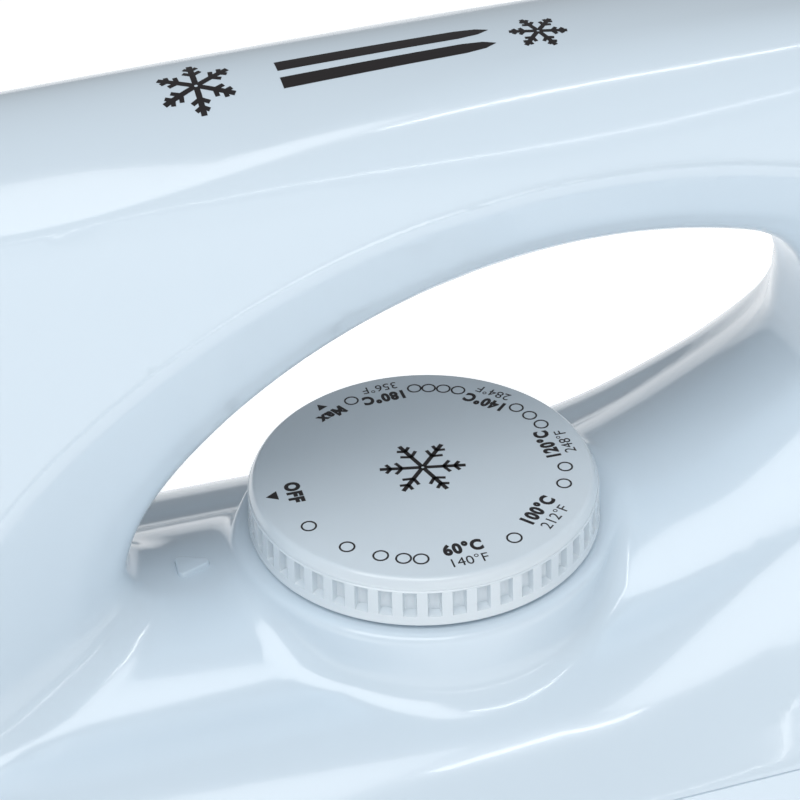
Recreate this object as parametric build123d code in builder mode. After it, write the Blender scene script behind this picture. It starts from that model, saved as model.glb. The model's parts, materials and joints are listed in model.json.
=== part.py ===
from build123d import *
import os
from math import pi

# A ski waxing iron: a heated sole under a moulded housing with a closed handle and a
# temperature dial on its deck. +X points to the toe, +Z up, and the origin lies under
# the middle of the sole. All sizes are millimetres.

# ---- Driving dimensions ----
BODY_LENGTH, BODY_WIDTH = 210.0, 100.0
TOE_RADIUS, HEEL_RADIUS = 36.0, 26.0
WALL = 2.6                       # housing wall
MIN_CORNER = 4.0                 # smallest corner radius of the body's outline
SOLE_THICKNESS, SOLE_INSET, SOLE_BEVEL = 10.0, 2.5, 2.0
SKIRT_BOTTOM, SEAM = 13.0, 26.0  # lower skirt's foot, and where the upper housing sits on it
SHIELD_TOP, SHIELD_THICKNESS = 17.5, 0.8
FLANGE = 2.5                     # thickness of the skirt's inner flange

SHOULDER_Y, SHOULDER_Z = 24.0, 40.0   # where the deck meets the body's sloping sides
EDGE_Y, EDGE_Z = 44.0, 32.0           # where the sides round over towards the seam
EDGE_ROUND = 3.0
DECK_Z = 49.0                         # the deck at the middle

HANDLE_TOP, HEEL_TOP = 134.4, 132.6   # crown of the handle at mid-length and at the heel
RIM_HALF, CREASE_HALF = 20.0, 17.8    # half widths of the handle at its rim and its crease
RIM_Z, CREASE_Z = 116.0, 125.5
CORE_HALF = 8.0                       # half width of the hand opening's narrowest band

PART_Z, PART_X, PART_SLOPE = 123.3, -69.0, 0.075  # the handle cover's parting plane
COVER_FRONT = 45.0                    # the cover's front edge

DIAL_X, DIAL_TOP = -10.0, 60.0
DIAL_RADIUS, DIAL_HEIGHT = 29.0, 8.2
DIAL_WALL, DIAL_ROOF = 2.4, 2.6
POCKETS, POCKET_DEPTH, POCKET_SHARE = 48, 0.9, 0.55
PEDESTAL_RADIUS, PEDESTAL_TOP = 31.2, 51.0

SPINDLE_RADIUS, RUNNING = 3.0, 0.05   # thermostat spindle, and its clearance in the bush
SPINDLE_FLAT = 2.0                    # from the spindle's axis to its flat
SPINDLE_BOTTOM = 22.0

GLAND_Z, GLAND_BORE, GLAND_LENGTH = 104.0, 3.6, 13.0
GLAND_FACE, GLAND_BODY = -104.0, 11.2  # the gland's outer end, and the side of its square body
GLAND_FLANGE, GLAND_FLANGE_RADIUS = 3.0, 9.0

ELEMENT_RADIUS, ELEMENT_Y = 3.3, 24.0
ELEMENT_REAR, ELEMENT_FRONT, ELEMENT_TOP = -84.0, 78.0, 25.0
BOSS_X, BOSS_Y, BOSS_RADIUS = 78.0, 36.0, 5.0
POST_X, POST_Y, POST_TOP, POST_RADIUS = -82.0, 9.5, 32.0, 4.5
WEB = 3.0                        # the floor of the rear pillar, which its screws clamp
RIB_REAR, RIB_FRONT, RIB_DEPTH = -90.0, -80.0, 8.0  # the rib under the cord clamp
LEAD_RADIUS = 1.2
GAP = 0.05                       # between a screw or a pin and its plain hole

BRACKET_HALF, BRACKET_TOP, BRACKET_WIDTH = 17.0, 26.0, 16.0  # inside the thermostat bracket
SHEET = 1.2
BUSH_RADIUS, BUSH_TOP = 4.5, 34.0
STACK_X, STACK_RADIUS = DIAL_X - 12.9, 3.9
BIMETAL_Z, FIXED_Z, MOVING_Z, TAG_Z = 12.0, 15.2, 18.8, 18.4
LEAF_PIVOT_X, LEAF_TIP_X, CONTACT_X = -18.6, 3.0, 1.0
FUSE_X, FUSE_Z, FUSE_RADIUS = 38.0, 12.8, 2.0
EARTH_X = -48.0
BLOCK_REAR, BLOCK_FRONT, BLOCK_HALF, POLE_PITCH, POLE_Z = -72.0, -62.5, 16.0, 10.0, 24.0
LENS_X, LENS_RADIUS = 66.0, 4.0
COVER_SCREW_Z = 117.2

# Corners of the hand opening and of its bevel's outer rim, seen from the side, with the
# radius of each. The two outlines have the same corners in the same order.
OPENING = [(-61.4, DECK_Z), (-59.2, 64.6), (-8.5, 115.0), (55.0, 94.6), (48.0, DECK_Z)]
OPENING_RADII = [4.5, 26.0, 84.0, 16.0, 13.0]
RIM = [(-80.0, SHOULDER_Z), (-88.0, 72.0), (-22.0, 136.0), (70.0, 112.0), (60.0, 46.0)]
RIM_RADII = [9.0, 20.0, 116.0, 20.0, 16.0]
# Corners of the handle's outer side view, heel to toe over the top.
OUTLINE = [(-103.0, SEAM), (-98.0, HEEL_TOP), (20.0, HANDLE_TOP), (91.0, HANDLE_TOP - 2.0),
           (102.0, SEAM)]
OUTLINE_RADII = [22.0, 300.0, 28.0]

os.makedirs("parts", exist_ok=True)


def save(part, name):
    part.label = name
    export_step(part, f"parts/{name}.step")


# ---- Shared outlines ----
def body_outline(inset):
    """The body seen from above, moved in by inset."""
    with BuildSketch() as outline:
        Rectangle(BODY_LENGTH - 2 * inset, BODY_WIDTH - 2 * inset)
        fillet(outline.vertices().group_by(Axis.X)[-1], max(TOE_RADIUS - inset, MIN_CORNER))
        fillet(outline.vertices().group_by(Axis.X)[0], max(HEEL_RADIUS - inset, MIN_CORNER))
    return outline.sketch


def side_loop(corners, radii, grow):
    """A closed outline seen from the side, with rounded corners, moved out by grow."""
    with BuildSketch() as loop:
        with BuildLine():
            FilletPolyline(*corners, radius=radii, close=True)
        make_face()
        if grow:
            offset(amount=grow)
    return loop.sketch


def handle_section(inset):
    """The handle and the deck's middle across: straight sides under a crowned top."""
    rim, crease = RIM_HALF - inset, CREASE_HALF - inset
    shoulder = SHOULDER_Y - inset
    with BuildSketch() as section:
        with BuildLine():
            Polyline((-crease, CREASE_Z), (-rim, RIM_Z), (-shoulder, SHOULDER_Z), (-shoulder, 0),
                     (shoulder, 0), (shoulder, SHOULDER_Z), (rim, RIM_Z), (crease, CREASE_Z))
            ThreePointArc((crease, CREASE_Z), (0, HANDLE_TOP + 0.4 - inset), (-crease, CREASE_Z))
        make_face()
    return section.sketch


def foot(rear, front, top_rear, top_front, height, inset):
    """A pillar's flared foot, from the body's full width to the pillar's."""
    with BuildPart() as flare:
        low, high = SEAM + 8, height
        for z, x0, x1, half, radius in [(low, rear, front, EDGE_Y, 16.0),
                                        (high, top_rear, top_front, RIM_HALF + 1.5, 12.0)]:
            with BuildSketch(Plane.XY.offset(z)):
                with Locations(((x0 + x1) / 2, 0)):
                    RectangleRounded(x1 - x0 - 2 * inset, 2 * (half - inset), radius - inset)
        loft(ruled=True)
        bottom = flare.faces().sort_by(Axis.Z)[0]
        extrude(bottom, amount=low - SEAM)
    return flare.part


# ---- The moulded form, full size or moved in by the wall ----
def handle_form(inset):
    """The closed handle with both bevelled sides of its opening."""
    with BuildPart() as handle:
        with BuildSketch(Plane.XZ):
            with BuildLine():
                loop = FilletPolyline(*OUTLINE, radius=OUTLINE_RADII)
                Line(loop @ 1, loop @ 0)
            make_face()
            if inset:
                offset(amount=-inset)
        extrude(amount=BODY_WIDTH / 2, both=True)
        with BuildSketch(Plane.YZ.offset(-BODY_LENGTH / 2)):
            add(handle_section(inset))
        extrude(amount=BODY_LENGTH, mode=Mode.INTERSECT)
        add(foot(-102.5, -60.0, -98.0, -72.0, 80.0, inset))
        add(foot(54.0, 101.5, 68.0, 97.0, 82.0, inset))
        with BuildSketch(Plane.XZ):
            add(side_loop(OPENING, OPENING_RADII, 1.35 * inset))
        extrude(amount=CORE_HALF, both=True, mode=Mode.SUBTRACT)
        with BuildPart(mode=Mode.PRIVATE) as bevel:
            with BuildSketch(Plane.XZ.offset(CORE_HALF)):
                add(side_loop(OPENING, OPENING_RADII, 1.35 * inset))
            with BuildSketch(Plane.XZ.offset(SHOULDER_Y)):
                add(side_loop(RIM, RIM_RADII, 1.35 * inset))
            loft(ruled=True)
            mirror(about=Plane.XZ)
        add(bevel.part, mode=Mode.SUBTRACT)
    return handle.part


def low_body(inset):
    """The body below the deck: an upright rim and sides that slope up to the shoulders."""
    with BuildPart() as body:
        with BuildSketch(Plane.XY.offset(SEAM)):
            add(body_outline(inset))
        extrude(amount=EDGE_Z - SEAM - inset)
        if not inset:
            fillet(body.faces().sort_by(Axis.Z)[-1].edges(), EDGE_ROUND)
        for z, moved in [(EDGE_Z, BODY_WIDTH / 2 - EDGE_Y), (SHOULDER_Z, BODY_WIDTH / 2 - SHOULDER_Y)]:
            with BuildSketch(Plane.XY.offset(z - inset)):
                add(body_outline(moved + inset / 2))
        loft(ruled=True)
    return body.part


def housing_form(inset):
    """The whole upper moulding as one solid: low body, handle and dial pedestal."""
    with BuildPart() as form:
        add(low_body(inset))
        add(handle_form(inset))
        with BuildSketch(Plane.XY.offset(SEAM + 6)):
            with Locations((DIAL_X, 0)):
                Circle(PEDESTAL_RADIUS - inset)
        extrude(amount=PEDESTAL_TOP - SEAM - 6 - inset)
    return form.part


with BuildPart() as outer:
    add(housing_form(0))
with BuildPart() as inner:
    add(housing_form(WALL))


def part_z(x):
    """Height of the handle cover's parting plane."""
    return PART_Z + PART_SLOPE * (x - PART_X)


def parting_band(below, above, rear, front):
    """A wide bar that follows the parting plane from rear to front."""
    with BuildPart() as band:
        with BuildSketch(Plane.XZ):
            with BuildLine():
                Polyline((rear, part_z(rear) - below), (front, part_z(front) - below),
                         (front, part_z(front) + above), (rear, part_z(rear) + above), close=True)
            make_face()
        extrude(amount=BODY_WIDTH / 2, both=True)
    return band.part


def block(x0, x1, half, z0, z1):
    """A plain block between two stations, centred on the middle plane."""
    with BuildPart(Plane.XY.offset(z0)) as made:
        with Locations(((x0 + x1) / 2, 0)):
            Box(x1 - x0, 2 * half, z1 - z0, align=(Align.CENTER, Align.CENTER, Align.MIN))
    return made.part


def rod(x, y, z0, z1, radius):
    """An upright cylinder between two heights."""
    with BuildPart(Plane.XY.offset(z0)) as made:
        with Locations((x, y)):
            Cylinder(radius, z1 - z0, align=(Align.CENTER, Align.CENTER, Align.MIN))
    return made.part


def screw(shank, length, head, head_height):
    """A pan-head screw with a cross recess, head up, its seat at the origin."""
    with BuildPart() as made:
        Cylinder(head, head_height, align=(Align.CENTER, Align.CENTER, Align.MIN))
        fillet(made.edges().sort_by(Axis.Z)[-1], head_height * 0.4)
        Cylinder(shank, length, align=(Align.CENTER, Align.CENTER, Align.MAX))
        with BuildSketch(Plane.XY.offset(head_height)):
            Rectangle(head, head / 4)
            Rectangle(head / 4, head)
        extrude(amount=-head_height * 0.55, mode=Mode.SUBTRACT)
    return made.part


def screws(fastener, places):
    """The same screw at each place, as one group."""
    with BuildPart() as group:
        with Locations(*places):
            add(fastener)
    return group.part


def lead(path_points, bend):
    """A round insulated lead along straight runs joined by tangent arcs."""
    with BuildPart() as made:
        with BuildLine():
            route = FilletPolyline(*path_points, radius=bend)
        with BuildSketch(Plane(route @ 0, z_dir=route % 0)):
            Circle(LEAD_RADIUS)
        sweep()
    return made.part


BOSSES = [(sx * BOSS_X, sy * BOSS_Y) for sx in (-1, 1) for sy in (-1, 1)]
POSTS = [(POST_X, POST_Y), (POST_X, -POST_Y)]
RISERS = [(ELEMENT_REAR, ELEMENT_Y), (ELEMENT_REAR, -ELEMENT_Y)]

# ---- Heating: element, sole and heat shield ----
with BuildPart() as heating_element:
    with BuildLine():
        u_path = FilletPolyline(
            (ELEMENT_REAR, ELEMENT_Y, ELEMENT_TOP), (ELEMENT_REAR, ELEMENT_Y, SOLE_THICKNESS),
            (ELEMENT_FRONT, ELEMENT_Y, SOLE_THICKNESS), (ELEMENT_FRONT, -ELEMENT_Y, SOLE_THICKNESS),
            (ELEMENT_REAR, -ELEMENT_Y, SOLE_THICKNESS), (ELEMENT_REAR, -ELEMENT_Y, ELEMENT_TOP),
            radius=[6.0, 22.0, 22.0, 6.0])
    with BuildSketch(Plane(u_path @ 0, z_dir=u_path % 0)):
        Circle(ELEMENT_RADIUS)
    sweep()
save(heating_element.part, "heating_element")

with BuildPart() as element_groove:
    with BuildLine():
        add(u_path)
    with BuildSketch(Plane(u_path @ 0, z_dir=u_path % 0)):
        Circle(ELEMENT_RADIUS + GAP)
    sweep()

with BuildPart() as sole_plate:
    with BuildSketch():
        add(body_outline(SOLE_INSET))
    extrude(amount=SOLE_THICKNESS)
    chamfer(sole_plate.faces().sort_by(Axis.Z)[0].edges(), SOLE_BEVEL)
    for x, y in BOSSES:
        add(rod(x, y, SOLE_THICKNESS - 1, SHIELD_TOP - SHIELD_THICKNESS, BOSS_RADIUS))
        add(rod(x, y, SOLE_THICKNESS / 2, SHIELD_TOP, 2.0), mode=Mode.SUBTRACT)
    add(element_groove.part, mode=Mode.SUBTRACT)
    for x in (DIAL_X - 23.5, DIAL_X + 23.5, EARTH_X):
        add(rod(x, 0, SOLE_THICKNESS / 2, SOLE_THICKNESS, 1.5 + GAP), mode=Mode.SUBTRACT)
    add(rod(FUSE_X, 9.0, SOLE_THICKNESS / 2, SOLE_THICKNESS, 1.5 + GAP), mode=Mode.SUBTRACT)
save(sole_plate.part, "sole_plate")

with BuildPart() as element_pins:
    for x, y in RISERS:
        add(rod(x, y, ELEMENT_TOP, ELEMENT_TOP + 9, 1.1))
save(element_pins.part, "element_pins")

with BuildPart() as element_beads:
    for x, y in RISERS:
        add(rod(x, y, ELEMENT_TOP, ELEMENT_TOP + 4, 2.9))
        add(rod(x, y, ELEMENT_TOP, ELEMENT_TOP + 4, 1.1 + GAP), mode=Mode.SUBTRACT)
    fillet(element_beads.edges().group_by(Axis.Z)[-1].filter_by(lambda e: e.radius > 2), 1.0)
save(element_beads.part, "element_beads")

with BuildPart() as heat_shield:
    with BuildSketch(Plane.XY.offset(SKIRT_BOTTOM + 0.5)):
        add(body_outline(WALL + 1))
    extrude(amount=SHIELD_TOP - SKIRT_BOTTOM - 0.5)
    with BuildSketch(Plane.XY.offset(SKIRT_BOTTOM)):
        add(body_outline(WALL + 1 + SHIELD_THICKNESS))
    extrude(amount=SHIELD_TOP - SHIELD_THICKNESS - SKIRT_BOTTOM, mode=Mode.SUBTRACT)
    add(block(EARTH_X - 8, FUSE_X + 24, 13, SKIRT_BOTTOM, SHIELD_TOP + 1), mode=Mode.SUBTRACT)
    for x, y in BOSSES:
        add(rod(x, y, SKIRT_BOTTOM, SHIELD_TOP + 1, 2.2), mode=Mode.SUBTRACT)
    for x, y in RISERS:
        add(rod(x, y, SKIRT_BOTTOM, SHIELD_TOP + 1, ELEMENT_RADIUS + 1), mode=Mode.SUBTRACT)
save(heat_shield.part, "heat_shield")

# ---- Lower skirt ----
with BuildPart() as lower_skirt:
    with BuildSketch(Plane.XY.offset(SKIRT_BOTTOM)):
        add(body_outline(0))
    extrude(amount=SEAM - SKIRT_BOTTOM)
    with BuildSketch(Plane.XY.offset(SKIRT_BOTTOM)):
        add(body_outline(WALL + 0.2))
    extrude(amount=SEAM + 3 - SKIRT_BOTTOM)
    with BuildSketch(Plane.XY.offset(SKIRT_BOTTOM)):
        add(body_outline(WALL + 0.2))
    extrude(amount=SHIELD_TOP - SKIRT_BOTTOM, mode=Mode.SUBTRACT)
    with BuildSketch(Plane.XY.offset(SHIELD_TOP + FLANGE)):
        add(body_outline(WALL + 1.6))
    extrude(amount=SEAM + 3 - SHIELD_TOP - FLANGE, mode=Mode.SUBTRACT)
    add(block(EARTH_X - 14, BOSS_X - 4, BOSS_Y - 7, SHIELD_TOP - 1, SHIELD_TOP + FLANGE + 1),
        mode=Mode.SUBTRACT)
    for x, y in POSTS:
        add(rod(x, y, SHIELD_TOP + FLANGE - 0.5, POST_TOP, POST_RADIUS))
        add(rod(x, y, SHIELD_TOP, POST_TOP, 2.0), mode=Mode.SUBTRACT)
    for x, y in BOSSES:
        add(rod(x, y, SHIELD_TOP - 1, SHIELD_TOP + FLANGE + 1, 2.2), mode=Mode.SUBTRACT)
    for x, y in RISERS:
        add(rod(x, y, SHIELD_TOP - 1, SHIELD_TOP + FLANGE + 1, ELEMENT_RADIUS + 1.3),
            mode=Mode.SUBTRACT)
save(lower_skirt.part, "lower_skirt")

sole_screw = screw(1.95, SHIELD_TOP + FLANGE - SOLE_THICKNESS / 2 - 1, 3.6, 2.4)
save(screws(sole_screw, [(x, y, SHIELD_TOP + FLANGE) for x, y in BOSSES]), "sole_screws")

# ---- Upper housing and handle cover ----
cover_zone = parting_band(0, 40, -BODY_LENGTH / 2 - 5, COVER_FRONT)

with BuildPart() as upper_housing:
    add(outer.part)
    add(inner.part, mode=Mode.SUBTRACT)
    with BuildPart(mode=Mode.PRIVATE) as inside:
        add(block(-BODY_LENGTH / 2, POST_X + 10, POST_Y + 6.5, POST_TOP, POST_TOP + WEB))
        add(block(RIB_REAR, RIB_FRONT, RIM_HALF, GLAND_Z - GLAND_BORE - RIB_DEPTH - 0.4,
                  GLAND_Z - GLAND_BORE - 0.4))
        add(housing_form(WALL / 2), mode=Mode.INTERSECT)
    add(inside.part)
    with BuildPart(Plane.YZ.offset(GLAND_FACE + GLAND_FLANGE), mode=Mode.PRIVATE) as gland_boss:
        with Locations((0, GLAND_Z)):
            Cylinder(GLAND_FLANGE_RADIUS + 1, 5, align=(Align.CENTER, Align.CENTER, Align.MIN))
    add(gland_boss.part)
    with BuildSketch(Plane.YZ.offset(GLAND_FACE)):
        with Locations((0, GLAND_Z)):
            RectangleRounded(GLAND_BODY + 2 * GAP, GLAND_BODY + 2 * GAP, 1)
    extrude(amount=GLAND_LENGTH, mode=Mode.SUBTRACT)
    with BuildSketch(Plane.YZ.offset(GLAND_FACE)):
        with Locations((0, COVER_SCREW_Z)):
            Circle(1.5 + GAP)
    extrude(amount=GLAND_LENGTH, mode=Mode.SUBTRACT)
    for x, y in POSTS:
        add(rod(x, y, POST_TOP - 1, POST_TOP + WEB + 1, 2.2), mode=Mode.SUBTRACT)
    for y in (POST_Y, -POST_Y):
        add(rod((RIB_REAR + RIB_FRONT) / 2, y, GLAND_Z - GLAND_BORE - RIB_DEPTH + 1, GLAND_Z, 1.5),
            mode=Mode.SUBTRACT)
    add(block(POST_X + 2.5, POST_X + 10.5, 5, POST_TOP - 1, POST_TOP + WEB + 1), mode=Mode.SUBTRACT)
    add(rod(DIAL_X, 0, PEDESTAL_TOP - 8, PEDESTAL_TOP + 1, 5), mode=Mode.SUBTRACT)
    add(rod(LENS_X, 0, CREASE_Z, HANDLE_TOP + 1, LENS_RADIUS + GAP), mode=Mode.SUBTRACT)
    add(cover_zone, mode=Mode.SUBTRACT)
    # a low raised arrowhead on the deck, which the dial's figures are read against
    with BuildSketch(Plane.XY.offset(DECK_Z - 1)):
        with Locations((DIAL_X - PEDESTAL_RADIUS - 7.5, 0)):
            Triangle(a=5.4, b=6.6, c=6.6, rotation=-90)
    extrude(amount=1.6)
save(upper_housing.part, "upper_housing")

with BuildPart() as handle_cover:
    add(outer.part)
    add(inner.part, mode=Mode.SUBTRACT)
    add(cover_zone, mode=Mode.INTERSECT)
    for below, above, clearance in [(3, 0, 0.2), (0, 2, 0)]:
        with BuildPart(mode=Mode.PRIVATE) as lip:
            add(handle_form(WALL + clearance))
            add(handle_form(WALL + 1.6), mode=Mode.SUBTRACT)
            add(parting_band(below, above, -88, COVER_FRONT - 20), mode=Mode.INTERSECT)
        add(lip.part)
    add(block(-92, -89, 5, COVER_SCREW_Z - 3, 126))
    with BuildSketch(Plane.YZ.offset(GLAND_FACE)):
        with Locations((0, COVER_SCREW_Z)):
            Circle(1.5)
    extrude(amount=GLAND_LENGTH + 4, mode=Mode.SUBTRACT)
save(handle_cover.part, "handle_cover")

housing_screw = screw(1.95, 14, 3.6, 2.4)
save(screws(housing_screw, [(x, y, POST_TOP + WEB) for x, y in POSTS]), "housing_screws")

with BuildPart() as cover_screw:
    with Locations(Location((-99.4, 0, COVER_SCREW_Z), (0, -90, 0))):
        add(screw(1.45, 10.8, 2.8, 1.8))
save(cover_screw.part, "cover_screw")

# ---- Cord inlet: gland and clamp ----
# the gland's square body can't turn in the wall's square hole
with BuildPart(Plane.YZ.offset(GLAND_FACE)) as cord_gland:
    with BuildSketch(Plane.YZ.offset(GLAND_FACE)):
        with Locations((0, GLAND_Z)):
            RectangleRounded(GLAND_BODY, GLAND_BODY, 1)
    extrude(amount=GLAND_LENGTH)
    with Locations((0, GLAND_Z)):
        Cylinder(GLAND_FLANGE_RADIUS, GLAND_FLANGE, align=(Align.CENTER, Align.CENTER, Align.MIN))
        Cylinder(GLAND_BORE, GLAND_LENGTH, align=(Align.CENTER, Align.CENTER, Align.MIN),
                 mode=Mode.SUBTRACT)
    chamfer(cord_gland.faces().sort_by(Axis.X)[0].outer_wire().edges(), 0.8)
save(cord_gland.part, "cord_gland")

clamp_top = GLAND_Z + GLAND_BORE + 2.6
clamp_foot = GLAND_Z - GLAND_BORE - 0.4
with BuildPart() as cord_clamp:
    add(block(RIB_REAR + 1.5, RIB_FRONT - 1.5, POST_Y + 4, clamp_foot, clamp_top))
    fillet(cord_clamp.edges().filter_by(Axis.X).group_by(Axis.Z)[-1], 2.0)
    add(block(RIB_REAR, RIB_FRONT, GLAND_BORE, clamp_foot, GLAND_Z), mode=Mode.SUBTRACT)
    with BuildSketch(Plane.YZ.offset(RIB_REAR)):
        with Locations((0, GLAND_Z)):
            Circle(GLAND_BORE)
    extrude(amount=RIB_FRONT - RIB_REAR, mode=Mode.SUBTRACT)
    for y in (POST_Y, -POST_Y):
        add(rod((RIB_REAR + RIB_FRONT) / 2, y, clamp_foot, clamp_top, 1.7), mode=Mode.SUBTRACT)
save(cord_clamp.part, "cord_clamp")
save(screws(screw(1.45, 15, 2.8, 1.8),
            [((RIB_REAR + RIB_FRONT) / 2, y, clamp_top) for y in (POST_Y, -POST_Y)]), "clamp_screws")

# ---- Terminal block ----
POLES = (-POLE_PITCH, 0.0, POLE_PITCH)
block_foot, block_top = SHIELD_TOP + FLANGE, POLE_Z + 7
with BuildPart() as terminal_block:
    add(block(BLOCK_REAR, BLOCK_FRONT, BLOCK_HALF, block_foot, block_top))
    for y in POLES:
        with BuildSketch(Plane.YZ.offset(BLOCK_REAR)):
            with Locations((y, POLE_Z)):
                Circle(1.6)
        extrude(amount=BLOCK_FRONT - BLOCK_REAR, mode=Mode.SUBTRACT)
        add(rod((BLOCK_REAR + BLOCK_FRONT) / 2, y, POLE_Z, block_top, 1.6), mode=Mode.SUBTRACT)
        add(rod((BLOCK_REAR + BLOCK_FRONT) / 2, y, POLE_Z + 5, block_top, 2.6), mode=Mode.SUBTRACT)
save(terminal_block.part, "terminal_block")
save(screws(screw(1.5, 3.2, 2.4, 1.6),
            [((BLOCK_REAR + BLOCK_FRONT) / 2, y, POLE_Z + 5) for y in POLES]), "terminal_screws")

# ---- Thermostat ----
FEET = (DIAL_X - 23.5, DIAL_X + 23.5)
with BuildPart() as thermostat_bracket:
    with BuildSketch(Plane.XZ):
        with BuildLine():
            rear, front = DIAL_X - BRACKET_HALF, DIAL_X + BRACKET_HALF
            Polyline((rear - 11, SOLE_THICKNESS), (rear, SOLE_THICKNESS), (rear, BRACKET_TOP),
                     (front, BRACKET_TOP), (front, SOLE_THICKNESS), (front + 11, SOLE_THICKNESS))
            offset(amount=SHEET, side=Side.LEFT)
        make_face()
    extrude(amount=BRACKET_WIDTH / 2, both=True)
    add(rod(DIAL_X, 0, BRACKET_TOP, BRACKET_TOP + SHEET, BUSH_RADIUS + GAP), mode=Mode.SUBTRACT)
    for x in FEET:
        add(rod(x, 0, SOLE_THICKNESS, SOLE_THICKNESS + SHEET, 1.7), mode=Mode.SUBTRACT)
save(thermostat_bracket.part, "thermostat_bracket")
save(screws(screw(1.5, 4, 2.8, 1.8), [(x, 0, SOLE_THICKNESS + SHEET) for x in FEET]), "bracket_screws")

with BuildPart() as thermostat_bush:
    add(rod(DIAL_X, 0, BRACKET_TOP - 2, BRACKET_TOP, 6.5))
    add(rod(DIAL_X, 0, BRACKET_TOP - 2, BUSH_TOP, BUSH_RADIUS))
    chamfer(thermostat_bush.edges().group_by(Axis.Z)[-1], 0.6)
    add(rod(DIAL_X, 0, BRACKET_TOP - 2, BUSH_TOP, SPINDLE_RADIUS + RUNNING), mode=Mode.SUBTRACT)
save(thermostat_bush.part, "thermostat_bush")

with BuildPart() as thermostat_nut:
    with BuildSketch(Plane.XY.offset(BRACKET_TOP + SHEET)):
        with Locations((DIAL_X, 0)):
            RegularPolygon(6.5, 6, major_radius=False)
            Circle(BUSH_RADIUS + GAP, mode=Mode.SUBTRACT)
    extrude(amount=3)
save(thermostat_nut.part, "thermostat_nut")

with BuildPart() as pusher_guide:
    guide_front = DIAL_X + BRACKET_HALF
    add(block(DIAL_X - 4, guide_front, 4, SPINDLE_BOTTOM - 1.8, SPINDLE_BOTTOM - 1.0))
    add(block(guide_front - 0.8, guide_front, 4, SPINDLE_BOTTOM - 1.8, BRACKET_TOP - 1))
    add(rod(DIAL_X, 0, SPINDLE_BOTTOM - 2, SPINDLE_BOTTOM, 1.6), mode=Mode.SUBTRACT)
save(pusher_guide.part, "pusher_guide")

save(rod(DIAL_X, 0, MOVING_Z + 0.8, SPINDLE_BOTTOM - 0.4, 1.5), "contact_pusher")

STACK_TOP = 21.6
with BuildPart() as stack_insulators:
    for z0, z1 in [(SOLE_THICKNESS, BIMETAL_Z), (BIMETAL_Z + 0.8, FIXED_Z),
                   (FIXED_Z + 0.5, TAG_Z), (TAG_Z + 0.5, STACK_TOP)]:
        add(rod(STACK_X, 0, z0, z1, STACK_RADIUS))
        add(rod(STACK_X, 0, z0, z1, 1.2 + GAP), mode=Mode.SUBTRACT)
save(stack_insulators.part, "stack_insulators")

with BuildPart() as stack_rivet:
    add(rod(STACK_X, 0, SOLE_THICKNESS, STACK_TOP, 1.2))
    add(rod(STACK_X, 0, STACK_TOP, STACK_TOP + 0.9, 2.4))
    fillet(stack_rivet.edges().sort_by(Axis.Z)[-1], 0.5)
save(stack_rivet.part, "stack_rivet")


def leaf(z, thickness, tip, tab_side):
    """A flat leaf held in the stack, with a soldering tab out to one side unless that is 0."""
    with BuildPart() as made:
        with BuildSketch(Plane.XY.offset(z)):
            with Locations((STACK_X, 0)):
                Circle(STACK_RADIUS - 0.4)
            with Locations(((STACK_X + tip) / 2, 0)):
                Rectangle(tip - STACK_X, 6)
            if tab_side:
                with Locations((STACK_X, tab_side * 6.5)):
                    Rectangle(3.6, 13)
            with Locations((STACK_X, 0)):
                Circle(1.2 + GAP, mode=Mode.SUBTRACT)
        extrude(amount=thickness)
    return made.part


save(leaf(BIMETAL_Z, 0.8, LEAF_TIP_X, 0), "bimetal_strip")
with BuildPart() as fixed_leaf:
    add(leaf(FIXED_Z, 0.5, LEAF_TIP_X, -1))
    add(rod(CONTACT_X, 0, FIXED_Z + 0.5, FIXED_Z + 1.2, 1.5))
save(fixed_leaf.part, "fixed_leaf")
save(leaf(TAG_Z, 0.5, STACK_X + 3, 1), "leaf_tag")

with BuildPart() as contact_leaf:
    add(block(LEAF_PIVOT_X, LEAF_TIP_X, 3, MOVING_Z, MOVING_Z + 0.5))
    add(rod(CONTACT_X, 0, MOVING_Z - 0.9, MOVING_Z, 1.5))
save(contact_leaf.part, "contact_leaf")

with BuildPart() as thermostat_spindle:
    add(rod(DIAL_X, 0, SPINDLE_BOTTOM, DIAL_TOP - 3, SPINDLE_RADIUS))
    add(rod(DIAL_X, 0, SPINDLE_BOTTOM, SPINDLE_BOTTOM + 1.5, SPINDLE_RADIUS + 1))
    chamfer(thermostat_spindle.edges().sort_by(Axis.Z)[-1], 0.5)
    with BuildPart(mode=Mode.PRIVATE) as spindle_flat:
        with Locations((DIAL_X, SPINDLE_FLAT, PEDESTAL_TOP - 3)):
            Box(10, 10, 20, align=(Align.CENTER, Align.MIN, Align.MIN))
    add(spindle_flat.part, mode=Mode.SUBTRACT)
save(thermostat_spindle.part, "thermostat_spindle")

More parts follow.
